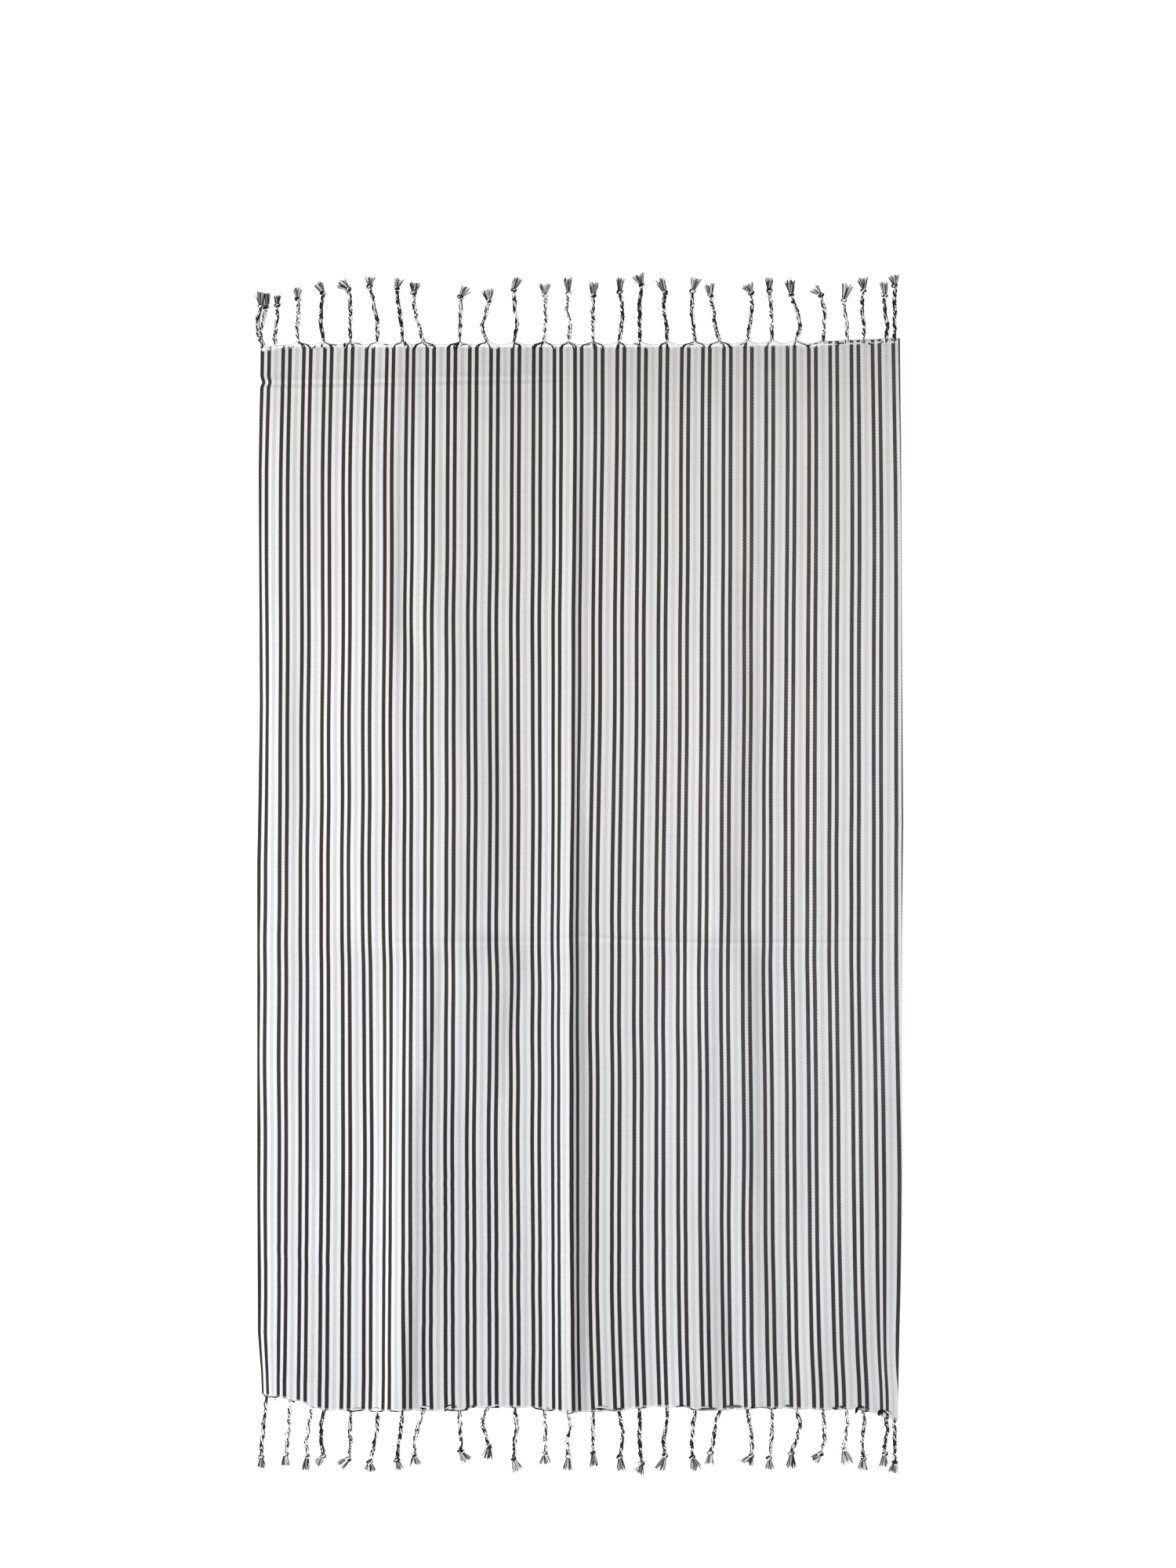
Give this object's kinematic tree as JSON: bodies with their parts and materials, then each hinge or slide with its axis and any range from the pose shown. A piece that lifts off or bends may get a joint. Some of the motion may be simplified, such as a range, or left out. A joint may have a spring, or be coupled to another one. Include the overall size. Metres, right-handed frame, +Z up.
{
  "type": "hammam towel",
  "caption": "Flat-woven striped cotton bath towel laid out face up, with low lengthwise folds and a twisted, knotted fringe along each end.",
  "frame": {"origin": "on the surface that the towel lies on, under the middle of its outline", "axes": "+X across the towel, +Y along its stripes towards one fringe, +Z up from the surface"},
  "size_m": [0.9685, 1.7983, 0.0187],
  "materials": {
    "striped_cotton": "matt twill-woven cotton with narrow lengthwise stripes",
    "fringe_yarn": "matt twisted cotton yarn, dark and natural together"
  },
  "bodies": {
    "root": {"cloth": "striped_cotton", "fringe_top": "fringe_yarn", "fringe_bottom": "fringe_yarn"}
  },
  "joints": []
}
